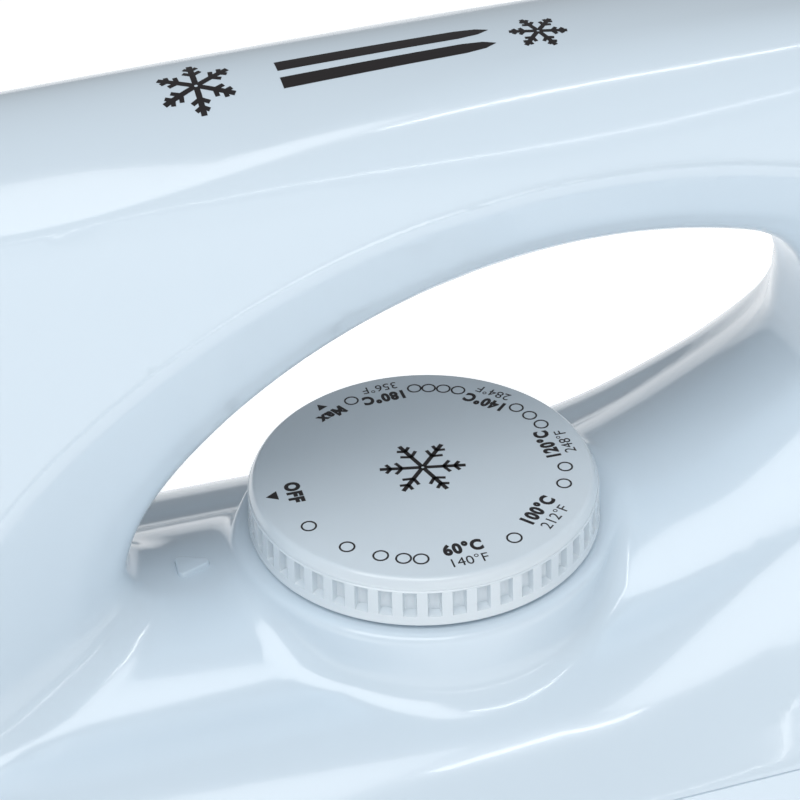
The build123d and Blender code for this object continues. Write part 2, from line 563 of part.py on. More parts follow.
# ---- Dial ----
HUB_RADIUS, HUB_FOOT, BORE_TOP = 6.5, DIAL_TOP - DIAL_HEIGHT + 0.7, DIAL_TOP - 2.9
LIP_DEPTH, BAND = 2.0, 1.6        # the plain lip above the pockets and the plain band below
dial_foot = DIAL_TOP - DIAL_HEIGHT
with BuildPart() as dial_knob:
    add(rod(DIAL_X, 0, dial_foot, DIAL_TOP, DIAL_RADIUS))
    fillet(dial_knob.edges().group_by(Axis.Z)[-1], 1.2)
    add(rod(DIAL_X, 0, dial_foot, DIAL_TOP - DIAL_ROOF, DIAL_RADIUS - DIAL_WALL), mode=Mode.SUBTRACT)
    add(rod(DIAL_X, 0, HUB_FOOT, DIAL_TOP - DIAL_ROOF / 2, HUB_RADIUS))
    with BuildPart(mode=Mode.PRIVATE) as d_bore:
        add(rod(DIAL_X, 0, HUB_FOOT, BORE_TOP, SPINDLE_RADIUS + GAP))
        with Locations((DIAL_X, SPINDLE_FLAT + GAP, HUB_FOOT)):
            Box(10, 10, 20, align=(Align.CENTER, Align.MIN, Align.MIN), mode=Mode.SUBTRACT)
    add(d_bore.part, mode=Mode.SUBTRACT)
    pitch = 2 * pi * DIAL_RADIUS / POCKETS
    with BuildPart(mode=Mode.PRIVATE) as pockets:
        with Locations((DIAL_X, 0, dial_foot + BAND)):
            with PolarLocations(DIAL_RADIUS, POCKETS, start_angle=-90):
                Box(2 * POCKET_DEPTH, POCKET_SHARE * pitch, DIAL_HEIGHT - BAND - LIP_DEPTH,
                    align=(Align.CENTER, Align.CENTER, Align.MIN))
    add(pockets.part, mode=Mode.SUBTRACT)
save(dial_knob.part, "dial_knob")

with BuildPart() as hub_spring:
    add(rod(DIAL_X, 0, HUB_FOOT + 0.5, HUB_FOOT + 3, HUB_RADIUS + 0.8))
    add(rod(DIAL_X, 0, HUB_FOOT + 0.5, HUB_FOOT + 3, HUB_RADIUS + GAP), mode=Mode.SUBTRACT)
    with Locations((DIAL_X, -HUB_RADIUS, HUB_FOOT)):
        Box(2, 6, 8, mode=Mode.SUBTRACT)
save(hub_spring.part, "hub_spring")

# ---- Thermal fuse and earth ----
with BuildPart(Plane.YZ.offset(FUSE_X - 8)) as thermal_fuse:
    with Locations((0, FUSE_Z)):
        Cylinder(FUSE_RADIUS, 16, align=(Align.CENTER, Align.CENTER, Align.MIN))
save(thermal_fuse.part, "thermal_fuse")

with BuildPart() as fuse_clip:
    with BuildSketch(Plane.YZ.offset(FUSE_X - 3)):
        with Locations((0, FUSE_Z)):
            Circle(FUSE_RADIUS + GAP + 0.7)
        with Locations((6.5, SOLE_THICKNESS + 0.4)):
            Rectangle(13, 0.8)
        with Locations((0, FUSE_Z)):
            Circle(FUSE_RADIUS + GAP, mode=Mode.SUBTRACT)
    extrude(amount=6)
    add(rod(FUSE_X, 9, SOLE_THICKNESS, SOLE_THICKNESS + 1, 1.7), mode=Mode.SUBTRACT)
save(fuse_clip.part, "fuse_clip")
save(screws(screw(1.5, 4, 2.8, 1.8), [(FUSE_X, 9, SOLE_THICKNESS + 0.8)]), "fuse_screw")

with BuildPart() as earth_tag:
    with BuildSketch(Plane.XY.offset(SOLE_THICKNESS)):
        with Locations((EARTH_X, 0)):
            Circle(4.0)
        with Locations((EARTH_X - 5, 0)):
            Rectangle(6, 3.6)
        with Locations((EARTH_X, 0)):
            Circle(1.7, mode=Mode.SUBTRACT)
    extrude(amount=0.8)
save(earth_tag.part, "earth_tag")
save(screws(screw(1.5, 4, 2.8, 1.8), [(EARTH_X, 0, SOLE_THICKNESS + 0.8)]), "earth_screw")

# ---- Leads inside the housing ----
high = 31.5                       # the leads to the element run above the block
save(lead([(BLOCK_FRONT, -POLE_PITCH, POLE_Z), (STACK_X, -11, POLE_Z),
           (STACK_X, -11, FIXED_Z + 0.5)], 4), "lead_live")
save(lead([(STACK_X, 11, TAG_Z + 0.5), (STACK_X, 11, high), (-48, ELEMENT_Y, high),
           (ELEMENT_REAR + 1.1, ELEMENT_Y, high)], 5), "lead_switched")
save(lead([(BLOCK_FRONT, POLE_PITCH, POLE_Z), (-46, 17, POLE_Z), (16, 17, POLE_Z),
           (24, 0, FUSE_Z), (FUSE_X - 8, 0, FUSE_Z)], 2.5), "lead_neutral")
save(lead([(FUSE_X + 8, 0, FUSE_Z), (56, 0, FUSE_Z), (56, 0, POLE_Z), (48, -17, POLE_Z),
           (-40, -17, POLE_Z), (-58, -ELEMENT_Y, high),
           (ELEMENT_REAR + 1.1, -ELEMENT_Y, high)], 2.5), "lead_fused")
save(lead([(BLOCK_FRONT, 0, POLE_Z), (EARTH_X - 6.5, 0, POLE_Z),
           (EARTH_X - 6.5, 0, SOLE_THICKNESS + 0.8)], 3), "lead_earth")
lamp_z = 112.0
with BuildPart() as lamp_leads:
    for side in (-1, 1):
        add(lead([(BLOCK_REAR, side * POLE_PITCH, POLE_Z), (-75, side * POLE_PITCH, POLE_Z),
                  (-76, side * 2.5, POLE_Z + 4), (-76, side * 2.5, lamp_z),
                  (LENS_X - 1.6, side * 2.0, lamp_z), (LENS_X - 1.6, side * 2.0, lamp_z + 4)], 1.6))
save(lamp_leads.part, "lamp_leads")

# ---- Pilot lamp in the front of the handle ----
with BuildPart() as pilot_lamp:
    add(rod(LENS_X, 0, lamp_z + 4, lamp_z + 16, 3.0))
    fillet(pilot_lamp.edges().sort_by(Axis.Z)[-1], 2.0)
save(pilot_lamp.part, "pilot_lamp")
with BuildPart() as lamp_lens:
    add(rod(LENS_X, 0, 120, HANDLE_TOP - 0.2, LENS_RADIUS))
    fillet(lamp_lens.edges().sort_by(Axis.Z)[-1], 1.2)
    add(rod(LENS_X, 0, 120, 129, 3.0 + GAP), mode=Mode.SUBTRACT)
save(lamp_lens.part, "lamp_lens")
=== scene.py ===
import json
import math

import bmesh
import bpy
import numpy as np
from mathutils import Matrix, Vector


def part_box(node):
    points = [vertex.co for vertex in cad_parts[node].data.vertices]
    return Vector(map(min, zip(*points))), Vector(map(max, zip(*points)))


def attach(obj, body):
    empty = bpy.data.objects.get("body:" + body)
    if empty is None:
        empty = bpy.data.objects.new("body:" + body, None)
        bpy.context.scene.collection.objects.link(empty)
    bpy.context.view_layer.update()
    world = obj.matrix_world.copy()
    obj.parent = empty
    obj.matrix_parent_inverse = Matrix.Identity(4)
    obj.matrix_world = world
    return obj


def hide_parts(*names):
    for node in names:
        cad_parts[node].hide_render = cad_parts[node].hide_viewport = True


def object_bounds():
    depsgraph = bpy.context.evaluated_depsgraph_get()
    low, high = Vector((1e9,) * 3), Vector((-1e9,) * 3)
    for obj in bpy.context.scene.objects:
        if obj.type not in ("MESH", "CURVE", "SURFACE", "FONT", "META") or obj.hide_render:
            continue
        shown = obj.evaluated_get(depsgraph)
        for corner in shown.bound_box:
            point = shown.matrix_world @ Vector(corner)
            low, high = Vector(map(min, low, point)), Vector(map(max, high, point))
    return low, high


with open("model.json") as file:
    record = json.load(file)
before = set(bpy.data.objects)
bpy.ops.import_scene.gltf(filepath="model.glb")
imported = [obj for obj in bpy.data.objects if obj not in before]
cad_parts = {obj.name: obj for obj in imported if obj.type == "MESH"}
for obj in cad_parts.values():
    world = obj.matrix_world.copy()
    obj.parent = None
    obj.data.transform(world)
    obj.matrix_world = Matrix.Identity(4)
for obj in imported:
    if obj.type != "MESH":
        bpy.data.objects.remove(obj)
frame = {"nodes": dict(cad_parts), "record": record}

# The looks of a ski waxing iron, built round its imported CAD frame: +X is the toe, +Z up.
# The moulded form is worked out in millimetres, and MM brings it to the frame's metres.
MM = 0.001
CAD_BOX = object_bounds()


def node_box(name):
    """Lowest and highest corner of a CAD node, in millimetres."""
    low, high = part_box(name)
    return np.array(low) / MM, np.array(high) / MM


# ---- Places read from the frame ----
dial_low, dial_high = node_box("dial_knob")
housing_low, housing_high = node_box("upper_housing")
cover_high = node_box("handle_cover")[1]
gland_low, gland_high = node_box("cord_gland")
lens_low, lens_high = node_box("lamp_lens")
screw_low, screw_high = node_box("cover_screw")

DIAL_X = (dial_low[0] + dial_high[0]) / 2
DIAL_RADIUS = (dial_high[0] - dial_low[0]) / 2
DIAL_TOP, DIAL_FOOT = dial_high[2], dial_low[2]
HALF_LENGTH, HALF_WIDTH = housing_high[0], housing_high[1]
SEAM = housing_low[2]
HANDLE_TOP = cover_high[2] - 0.05
GLAND_Z = (gland_low[2] + gland_high[2]) / 2
GLAND_SEAT = gland_low[0] + 3.0
SCREW_Z = (screw_low[2] + screw_high[2]) / 2
SCREW_SEAT = screw_low[0] + 1.8
LENS_X = (lens_low[0] + lens_high[0]) / 2
LENS_HOLE = (lens_high[0] - lens_low[0]) / 2

# ---- The moulded form, in millimetres ----
WALL = 2.4
TOE_RADIUS, HEEL_RADIUS = 36.0, 26.0
BELT = 26.0                                  # width of the body's sloping edge
SHOULDER_Z, RIDGE = 40.2, 8.8                # the deck's shoulder, and its ridge above that
RISE, RISE_END = 0.0068, 54.0                # how the deck climbs to the toe
PEDESTAL_RADIUS, PEDESTAL_TOP = 31.2, 51.0
RIM_HALF, RIM_Z = 20.0, 116.0                # the handle's widest line
CROWN_HALF = 17.8
CREASE_Z, CREASE_X, CREASE_SLOPE = 123.2, -64.0, 0.09      # the crease between side and crown
PARTING_EASE, PARTING_RISE, PARTING_X = 0.015, 0.1, 5.0    # the cover's parting plane, by the crease
ARCH = (17.0, 7.0, 93.8)                     # arch over the hand opening: x, z, radius
HEEL_ARCH = (-6.5, 47.0, 53.8)               # its round rear end
TOE_SIDE = 54.0                              # the opening's front end
LIP = 0.42                                   # height of the fine lip along the opening's edge
GLAND_BOSS, GLAND_HOLE = 10.0, 6.0           # radii round the cord gland
SCREW_PAD, SPINDLE_HOLE = 4.4, 5.0           # radii round the cover screw and the dial's shaft
SEAM_GAP = 0.15                              # how far the body stands off the skirt
POINTER_X, POINTER_HALF = DIAL_X - PEDESTAL_RADIUS - 7.5, 2.9

# ---- How finely the form is meshed ----
NET_STEP = 2.0
REFINE_ROUNDS, REFINE_BEND, SHORTEST_EDGE = 3, 0.034, 0.5

# ---- The dial's grip pockets ----
POCKETS, FIRST_POCKET = 48, math.radians(1.8)
POCKET_TOP, POCKET_FOOT = 2.0, 6.6           # depths below the dial's top that hold them
# Where each pocket has its columns of points, as shares of the pitch from its middle
POCKET_SHARES = [0.05, 0.14, 0.21, 0.255, 0.268, 0.278, 0.287, 0.31, 0.38, 0.46]

# ---- The dial's printed scale, in degrees from OFF ----
SCALE_END = 298.0


def smooth_min(a, b, k):
    h = np.clip(0.5 + 0.5 * (b - a) / k, 0.0, 1.0)
    return b + (a - b) * h - k * h * (1.0 - h)


def smooth_max(a, b, k):
    return -smooth_min(-a, -b, k)


def smooth_step(v, start, end):
    t = np.clip((v - start) / (end - start), 0.0, 1.0)
    return t * t * (3.0 - 2.0 * t)


def inside_plan(x, ay):
    """How far a point lies inside the body's rounded outline, seen from above."""
    corner = np.where(x > 0, TOE_RADIUS, HEEL_RADIUS)
    qx = np.abs(x) - (HALF_LENGTH - corner)
    qy = ay - (HALF_WIDTH - corner)
    outer = np.hypot(np.maximum(qx, 0), np.maximum(qy, 0))
    return corner - outer - np.minimum(np.maximum(qx, qy), 0)


def deck_height(x, ay):
    """The body's top: its sloping edge, the deck's ridge, and the climb to the toe."""
    depth = np.clip(inside_plan(x, ay), 0.0, BELT) / BELT
    belt = SEAM + 0.3 + (SHOULDER_Z - SEAM - 0.3) * (1 - (1 - depth) ** 2)
    ridge = smooth_max(RIDGE - 0.0155 * ay**2, 0.0, 2.0)
    run = smooth_min(np.maximum(x, 0.0), RISE_END, 16.0)
    return belt + ridge + RISE * run**2 * (1 - (1 - depth) ** 1.6)


def body_form(x, ay, z):
    return smooth_max(z - deck_height(x, ay), -inside_plan(x, ay), 1.2)


def bevel_run(ay):
    """How far the opening's bevel stands back from its narrowest line."""
    near = smooth_max(0.03 * ay, 1.07 * (ay - 7.3), 3.0)
    return smooth_max(near, 7.2 + 1.52 * (ay - 14.0), 0.5)


def opening_form(x, ay, z):
    """Above 0 in the hand opening and its bevels."""
    arch = np.hypot(x - ARCH[0], z - ARCH[1]) - ARCH[2]
    back = HEEL_ARCH[0] - x
    heel = np.hypot(np.maximum(back, 0), z - HEEL_ARCH[1]) - HEEL_ARCH[2]
    heel += 0.4 * np.minimum(back, 0)
    clear = smooth_max(arch, heel, 4.0)
    run = (1.03 - 0.0027 * np.clip(x, -100.0, 70.0)) * bevel_run(ay)
    foot = 0.022 * np.maximum(76.0 - z, 0.0) ** 2
    clear = smooth_max(clear, x - TOE_SIDE + foot + 0.5 * run, 14.0)
    return (run - clear) / 1.5


def side_half_width(x, z):
    """Half the handle's width at a height: straight, pinched to the crown, flared to the deck."""
    front = smooth_step(x, 0.0, TOE_SIDE)
    foot = SHOULDER_Z + 18.0 * front
    flare = 16.0 * np.exp(-smooth_max(z - foot, 0.0, 0.5 + 18.0 * front) / 11.0)
    lean = 0.045 * np.maximum(RIM_Z - z, 0.0)
    pinch = 0.19 * smooth_max(z - RIM_Z, 0.0, 4.0)
    return RIM_HALF + flare + lean - pinch


def crown_height(x, ay):
    """The handle's rounded top, from the crease on one side to the other."""
    top = HANDLE_TOP - 0.0003 * (x - 20.0) ** 2
    crease = CREASE_Z + CREASE_SLOPE * smooth_max(x - CREASE_X, 0.0, 8.0)
    return top - (top - crease) * (ay / CROWN_HALF) ** 2


def handle_form(x, ay, z):
    """Below 0 inside the handle and its pillars, with the lip along the opening's edge."""
    soft = 0.8 + 8.0 * smooth_step(x, -62.0, 24.0)
    form = smooth_max(ay - side_half_width(x, z), z - crown_height(x, ay), soft)
    heel = -(HALF_LENGTH - 2.0) + 0.047 * (z - SEAM)
    toe = HALF_LENGTH - 3.0 - 0.105 * (z - SEAM)
    form = smooth_max(form, heel - x, 22.0)
    form = smooth_max(form, x - toe, 30.0)
    opening = opening_form(x, ay, z)
    lip = LIP * smooth_step(z, 60.0, 74.0) * np.exp(-(((opening + 0.75) / 0.6) ** 2))
    return smooth_max(form - lip, opening, 0.5)


def outer_form(x, y, z):
    """Below 0 inside the housing's outer skin."""
    ay = np.abs(y)
    form = smooth_min(handle_form(x, ay, z), body_form(x, ay, z), 9.0)
    round_dial = np.hypot(x - DIAL_X, y)
    pedestal = smooth_max(round_dial - PEDESTAL_RADIUS, z - PEDESTAL_TOP, 1.6)
    form = smooth_min(form, pedestal, 5.0)
    round_gland = np.hypot(y, z - GLAND_Z)
    boss = smooth_max(round_gland - GLAND_BOSS, GLAND_SEAT - x, 0.8)
    boss = smooth_max(boss, x - GLAND_SEAT - 12.0, 0.8)
    form = smooth_min(form, boss, 2.5)
    pad = smooth_max(np.hypot(y, z - SCREW_Z) - SCREW_PAD, SCREW_SEAT - x, 0.6)
    pad = smooth_max(pad, x - SCREW_SEAT - 8.0, 0.6)
    return smooth_min(form, pad, 1.5)


def gradient(field, p, step=0.02):
    out = np.empty_like(p)
    for axis in range(3):
        d = np.zeros(3)
        d[axis] = step
        ahead, behind = p + d, p - d
        out[:, axis] = (field(*ahead.T) - field(*behind.T)) / (2 * step)
    return out


def settle(field, p, rounds=6, limit=1.0):
    """Points moved onto the field's zero surface."""
    for _ in range(rounds):
        g = gradient(field, p)
        move = field(*p.T) / np.maximum((g**2).sum(1), 1e-6)
        shift = g * move[:, None]
        size = np.linalg.norm(shift, axis=1)
        shift *= np.minimum(1.0, limit / np.maximum(size, 1e-9))[:, None]
        p = p - shift
    return p


def surface_net(field, low, high, step):
    """Points and quads on the field's zero surface, one point in each grid cell that it crosses."""
    axes = [np.arange(a, b + step, step) for a, b in zip(low, high)]
    grid = np.meshgrid(*axes, indexing="ij")
    value = field(*grid)
    cells = tuple(n - 1 for n in value.shape)
    total = np.zeros(cells + (3,))
    count = np.zeros(cells)
    crossings = []
    for axis in range(3):
        first = [slice(None)] * 3
        second = [slice(None)] * 3
        first[axis], second[axis] = slice(None, -1), slice(1, None)
        a, b = value[tuple(first)], value[tuple(second)]
        crossed = (a < 0) != (b < 0)
        share = np.where(crossed, a / np.where(crossed, a - b, 1.0), 0.0)
        crossings.append((crossed, a < 0))
        point = [g[tuple(first)].copy() for g in grid]
        point[axis] = point[axis] + share * step
        others = [d for d in range(3) if d != axis]
        for i in (0, 1):
            for j in (0, 1):
                pick = [slice(None)] * 3
                pick[others[0]] = slice(i, i + cells[others[0]])
                pick[others[1]] = slice(j, j + cells[others[1]])
                hit = crossed[tuple(pick)]
                count += hit
                for d in range(3):
                    total[..., d] += np.where(hit, point[d][tuple(pick)], 0.0)
    used = count > 0
    index = np.full(cells, -1)
    index[used] = np.arange(used.sum())
    points = total[used] / count[used][:, None]
    quads = []
    for axis, (crossed, inside) in enumerate(crossings):
        u, v = [d for d in range(3) if d != axis]
        if axis == 1:
            u, v = v, u
        at = np.argwhere(crossed)
        keep = (at[:, u] > 0) & (at[:, v] > 0)
        keep &= (at[:, u] < cells[u]) & (at[:, v] < cells[v])
        at = at[keep]
        corner = []
        for du, dv in ((1, 1), (0, 1), (0, 0), (1, 0)):
            c = at.copy()
            c[:, u] -= du
            c[:, v] -= dv
            corner.append(index[tuple(c.T)])
        quad = np.stack(corner, 1)
        flip = ~inside[tuple(at.T)]
        quad[flip] = quad[flip][:, ::-1]
        quads.append(quad)
    return points, np.concatenate(quads)


# ---- Mesh helpers ----
def mesh_object(name, points, faces, body="root"):
    """A mesh piece, in metres, that rides on a body."""
    mesh = bpy.data.meshes.new(name)
    mesh.from_pydata([tuple(p) for p in points], [], [tuple(f) for f in faces])
    mesh.update()
    obj = bpy.data.objects.new(name, mesh)
    bpy.context.scene.collection.objects.link(obj)
    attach(obj, body)
    return obj


def point_array(bm):
    return np.array([v.co for v in bm.verts])


def refine(bm, field, rounds, bend, shortest):
    """Splits the edges where the surface bends, and settles the new points on the surface."""
    for _ in range(rounds):
        bm.verts.ensure_lookup_table()
        bm.verts.index_update()
        p = point_array(bm)
        g = gradient(field, p)
        g /= np.linalg.norm(g, axis=1)[:, None]
        picked = []
        for e in bm.edges:
            a, b = e.verts[0].index, e.verts[1].index
            turn = 1.0 - g[a] @ g[b]
            if turn > bend and np.linalg.norm(p[a] - p[b]) > shortest:
                picked.append(e)
        faces = {f for e in picked for f in e.link_faces}
        edges = {e for f in faces for e in f.edges}
        bmesh.ops.subdivide_edges(bm, edges=list(edges), cuts=1, use_grid_fill=True)
        p = settle(field, point_array(bm), rounds=4, limit=0.3)
        for v, co in zip(bm.verts, p):
            v.co = co


def cut(bm, point, normal):
    """New edges where the plane crosses the mesh, with nothing removed."""
    geometry = bm.verts[:] + bm.edges[:] + bm.faces[:]
    bmesh.ops.bisect_plane(bm, geom=geometry, dist=1e-5, plane_co=point, plane_no=normal)


def drop(bm, unwanted):
    """Deletes the faces that the test picks, and the points that only they use."""
    bmesh.ops.delete(bm, geom=[f for f in bm.faces if unwanted(f)], context="FACES")


def punch(bm, centre, axis, radius, reach):
    """Opens a round hole in the skin, along an axis through centre, and trues its edge."""
    centre, axis = np.array(centre, float), np.array(axis, float)

    def off_axis(co):
        v = np.array(co) - centre
        along = v @ axis
        return v - along * axis, along

    gone = []
    for f in bm.faces:
        parts = [off_axis(v.co) for v in f.verts]
        near = all(abs(along) < reach for _, along in parts)
        if near and min(np.linalg.norm(side) for side, _ in parts) < radius:
            gone.append(f)
    old = {v for f in gone for v in f.verts}
    bmesh.ops.delete(bm, geom=gone, context="FACES")
    for v in old:
        if not v.is_valid:
            continue
        side, _ = off_axis(v.co)
        size = np.linalg.norm(side)
        v.co += Vector(side * (radius / size - 1.0))


def housing_piece(name, bm, keep, replaced):
    """One moulding: the skin that keep picks, thickened inwards, with the form's own normals."""
    part = bm.copy()
    drop(part, lambda f: not keep(f.calc_center_median()))
    part.verts.index_update()
    outer = point_array(part)
    n = gradient(outer_form, outer)
    n /= np.linalg.norm(n, axis=1)[:, None]
    faces = [[v.index for v in f.verts] for f in part.faces]
    normals = [n[i] for f in faces for i in f]
    count = len(outer)
    inner_faces = [[i + count for i in reversed(f)] for f in faces]
    normals += [-n[i - count] for f in inner_faces for i in f]
    points = np.concatenate([outer, outer - WALL * n])
    rims = []
    for e in part.edges:
        if e.is_boundary:
            loop = e.link_loops[0]
            a, b = loop.vert.index, loop.link_loop_next.vert.index
            rims.append([b, a, a + count, b + count])
            side = np.cross(points[a] - points[b], points[a + count] - points[b])
            normals += [side / np.linalg.norm(side)] * 4
    part.free()
    obj = mesh_object(name, points * MM, faces + inner_faces + rims)
    obj.data.polygons.foreach_set("use_smooth", [True] * len(obj.data.polygons))
    obj.data.normals_split_custom_set([tuple(v) for v in normals])
    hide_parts(replaced)
    return obj


# ---- Camera, floor and lights ----
def add_camera():
    """A close view down onto the dial from beside the heel."""
    data = bpy.data.cameras.new("camera")
    data.lens, data.sensor_width = 72.8, 36.0
    camera = bpy.data.objects.new("camera", data)
    bpy.context.scene.collection.objects.link(camera)
    right = Vector((0.9608, -0.2760, -0.0262))
    forward = Vector((0.2138, 0.7979, -0.5637))
    up = right.cross(forward)
    turn = Matrix((right, up, -forward)).transposed().to_4x4()
    stand = Vector((DIAL_X - 57.9, -203.1, DIAL_TOP + 157.5)) * MM
    camera.matrix_world = Matrix.Translation(stand) @ turn
    data.clip_start, data.clip_end = 0.01, 20.0
    bpy.context.scene.camera = camera


def area_light(name, place, target, size, power, colour=(1, 1, 1)):
    data = bpy.data.lights.new(name, "AREA")
    data.shape = "RECTANGLE"
    data.size, data.size_y = size
    data.energy, data.color = power, colour
    lamp = bpy.data.objects.new(name, data)
    lamp.location = place
    aim = Vector(target) - Vector(place)
    lamp.rotation_euler = aim.to_track_quat("-Z", "Y").to_euler()
    bpy.context.scene.collection.objects.link(lamp)
    return lamp


def add_floor():
    grid = bmesh.new()
    bmesh.ops.create_grid(grid, x_segments=8, y_segments=8, size=6.0)
    mesh = bpy.data.meshes.new("floor")
    grid.to_mesh(mesh)
    grid.free()
    floor = bpy.data.objects.new("floor", mesh)
    floor.location.z = CAD_BOX[0].z - 0.0005
    bpy.context.scene.collection.objects.link(floor)
    material = bpy.data.materials.new("floor")
    material.use_nodes = True
    shader = material.node_tree.nodes["Principled BSDF"]
    shader.inputs["Base Color"].default_value = (0.93, 0.94, 0.95, 1)
    shader.inputs["Roughness"].default_value = 0.9
    shader.inputs["Specular IOR Level"].default_value = 0.1
    shader.inputs["Emission Color"].default_value = (1, 1, 1, 1)
    shader.inputs["Emission Strength"].default_value = 0.5
    mesh.materials.append(material)


def add_world():
    """A soft pale room, a little darker behind the object."""
    world = bpy.data.worlds.new("studio")
    world.use_nodes = True
    nodes, links = world.node_tree.nodes, world.node_tree.links
    background = nodes["Background"]
    background.inputs["Strength"].default_value = 0.38
    place = nodes.new("ShaderNodeTexCoord")
    split = nodes.new("ShaderNodeSeparateXYZ")
    fade = nodes.new("ShaderNodeMapRange")
    fade.inputs["From Min"].default_value = -0.5
    fade.inputs["From Max"].default_value = 0.5
    tone = nodes.new("ShaderNodeValToRGB")
    tone.color_ramp.elements[0].color = (0.86, 0.93, 1.0, 1)
    tone.color_ramp.elements[0].position = 0.2
    tone.color_ramp.elements[1].color = (0.60, 0.61, 0.63, 1)
    links.new(place.outputs["Generated"], split.inputs["Vector"])
    links.new(split.outputs["Y"], fade.inputs["Value"])
    links.new(fade.outputs["Result"], tone.inputs["Fac"])
    links.new(tone.outputs["Color"], background.inputs["Color"])
    bpy.context.scene.world = world


def add_lights():
    area_light("key", (-0.35, -0.50, 1.20), (0, 0, 0.06), (1.1, 0.8), 8.6)
    area_light("front", (0.1, -1.3, 0.55), (0, 0, 0.08), (1.6, 0.8), 0.3)
    area_light("low_strip", (0.22, -0.95, 0.30), (0, 0, 0.1), (1.1, 0.02), 0.5)
    area_light("high_strip", (0.33, -0.44, 1.0), (0, 0, 0.1), (0.35, 0.025), 0.5)


# ---- Materials ----
def material(name, colour, roughness, **sockets):
    made = bpy.data.materials.new(name)
    made.use_nodes = True
    shader = made.node_tree.nodes["Principled BSDF"]
    shader.inputs["Base Color"].default_value = (*colour, 1)
    shader.inputs["Roughness"].default_value = roughness
    for socket, value in sockets.items():
        shader.inputs[socket.replace("_", " ")].default_value = value
    return made


def add_grain(made, scale, depth, spread=0.04, stretch=(1, 1, 1), distance=0.0002):
    """A fine bump, and a little variation of the gloss, from noise in the object's own frame."""
    nodes, links = made.node_tree.nodes, made.node_tree.links
    shader = nodes["Principled BSDF"]
    place = nodes.new("ShaderNodeTexCoord")
    mapping = nodes.new("ShaderNodeMapping")
    mapping.inputs["Scale"].default_value = stretch
    noise = nodes.new("ShaderNodeTexNoise")
    noise.inputs["Scale"].default_value = scale
    noise.inputs["Detail"].default_value = 6
    links.new(place.outputs["Object"], mapping.inputs["Vector"])
    links.new(mapping.outputs["Vector"], noise.inputs["Vector"])
    bump = nodes.new("ShaderNodeBump")
    bump.inputs["Strength"].default_value = depth
    bump.inputs["Distance"].default_value = distance
    links.new(noise.outputs["Fac"], bump.inputs["Height"])
    links.new(bump.outputs["Normal"], shader.inputs["Normal"])
    if spread:
        base = shader.inputs["Roughness"].default_value
        gloss = nodes.new("ShaderNodeMapRange")
        gloss.inputs["To Min"].default_value = base - spread
        gloss.inputs["To Max"].default_value = base + spread
        links.new(noise.outputs["Fac"], gloss.inputs["Value"])
        links.new(gloss.outputs["Result"], shader.inputs["Roughness"])
    return made


def plastic(name, colour, roughness=0.16):
    """Glossy moulded plastic."""
    made = material(name, colour, roughness, Coat_Weight=0.3, Coat_Roughness=0.04, IOR=1.5)
    return add_grain(made, 420, 0.02, 0.03)


def metal(name, colour, roughness, scale=900, stretch=(1, 1, 1), depth=0.08):
    """Bare metal, with its grain drawn out by stretch."""
    made = material(name, colour, roughness, Metallic=1.0)
    return add_grain(made, scale, depth, 0.06, stretch)


def make_materials():
    white = (0.69, 0.79, 0.87)
    return {
        "housing": plastic("white_moulding", white),
        "dial": plastic("dial_plastic", (0.70, 0.765, 0.81), 0.2),
        "print": add_grain(material("black_ink", (0.017, 0.014, 0.015), 0.35), 900, 0.05),
        "sole": metal("cast_aluminium", (0.50, 0.51, 0.52), 0.34, 500, (1, 14, 1), 0.05),
        "element": metal("element_sheath", (0.42, 0.40, 0.38), 0.42),
        "bright_steel": metal("bright_steel", (0.66, 0.66, 0.65), 0.26),
        "screws": metal("plated_screw", (0.60, 0.60, 0.62), 0.30),
        "brass": metal("brass", (0.78, 0.60, 0.27), 0.26),
        "ceramic": add_grain(material("ceramic", (0.80, 0.78, 0.72), 0.55), 500, 0.1),
        "gland": add_grain(material("soft_black_gland", (0.03, 0.03, 0.032), 0.6), 1400, 0.2),
        "inner_plastic": add_grain(material("inner_plastic", (0.12, 0.12, 0.13), 0.45), 700, 0.1),
        "lead_brown": add_grain(material("brown_lead", (0.16, 0.06, 0.03), 0.4), 800, 0.1),
        "lead_blue": add_grain(material("blue_lead", (0.03, 0.12, 0.45), 0.4), 800, 0.1),
        "lead_green": add_grain(material("green_lead", (0.12, 0.42, 0.08), 0.4), 800, 0.1),
        "lamp": add_grain(material("lamp_glass", (0.9, 0.35, 0.2), 0.1,
                                   Transmission_Weight=0.6), 300, 0.02),
        "lens": add_grain(material("lamp_lens", (0.75, 0.05, 0.03), 0.12,
                                   Transmission_Weight=0.5), 300, 0.03),
    }


